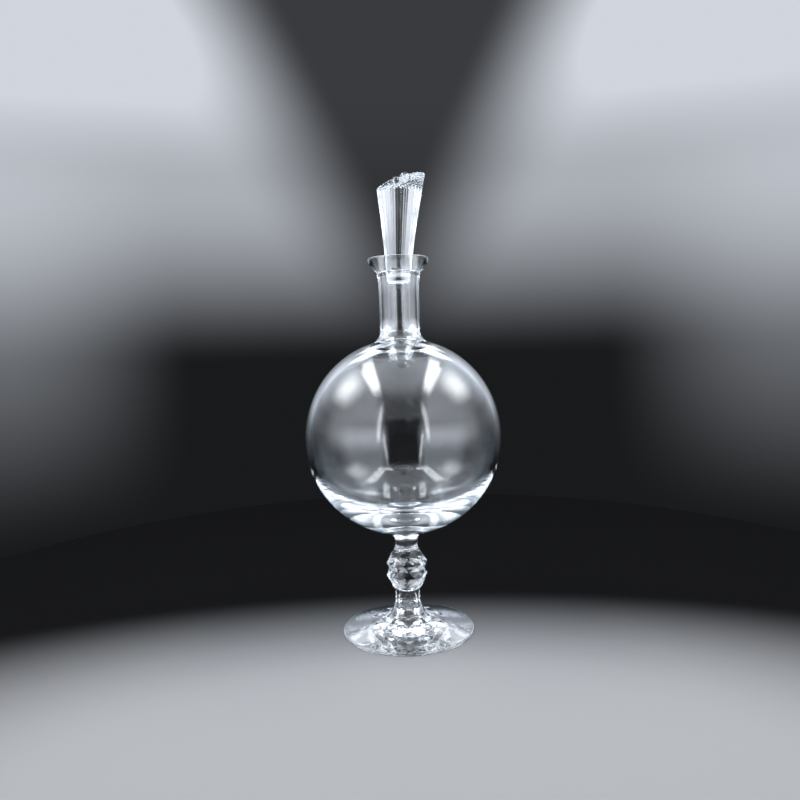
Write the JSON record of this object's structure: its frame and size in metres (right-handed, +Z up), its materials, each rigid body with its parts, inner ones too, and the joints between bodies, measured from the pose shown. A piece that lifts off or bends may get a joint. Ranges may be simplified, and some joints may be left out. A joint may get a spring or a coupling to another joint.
{
  "type": "champagne decanter",
  "caption": "Stemmed crystal decanter: hollow globe with a thick neck and cupped lip on a facet-cut knop and fluted foot, closed by a reeded lift-out stopper.",
  "frame": {"origin": "on the table, at the centre of the foot's rest ring", "axes": "+Z up along the axis of the globe and neck, -Y towards the front, +X to the right, where the stopper's slanted top is higher"},
  "size_m": [0.1498, 0.1498, 0.3492],
  "materials": {
    "blown_crystal": "fire-polished clear crystal with a trace of blue",
    "cut_crystal": "cut and polished clear crystal",
    "stopper_crystal": "pressed and polished clear crystal, bright along the reeds"
  },
  "bodies": {
    "decanter": {"bowl": "blown_crystal", "collar": "blown_crystal", "knop": "cut_crystal", "foot": "cut_crystal"},
    "stopper": {"stopper": "stopper_crystal"}
  },
  "joints": [
    {"name": "stopper_lift", "type": "slide", "parent": "decanter", "child": "stopper", "axis": [0, 0, 1], "range_m": [0, 0.1]}
  ]
}
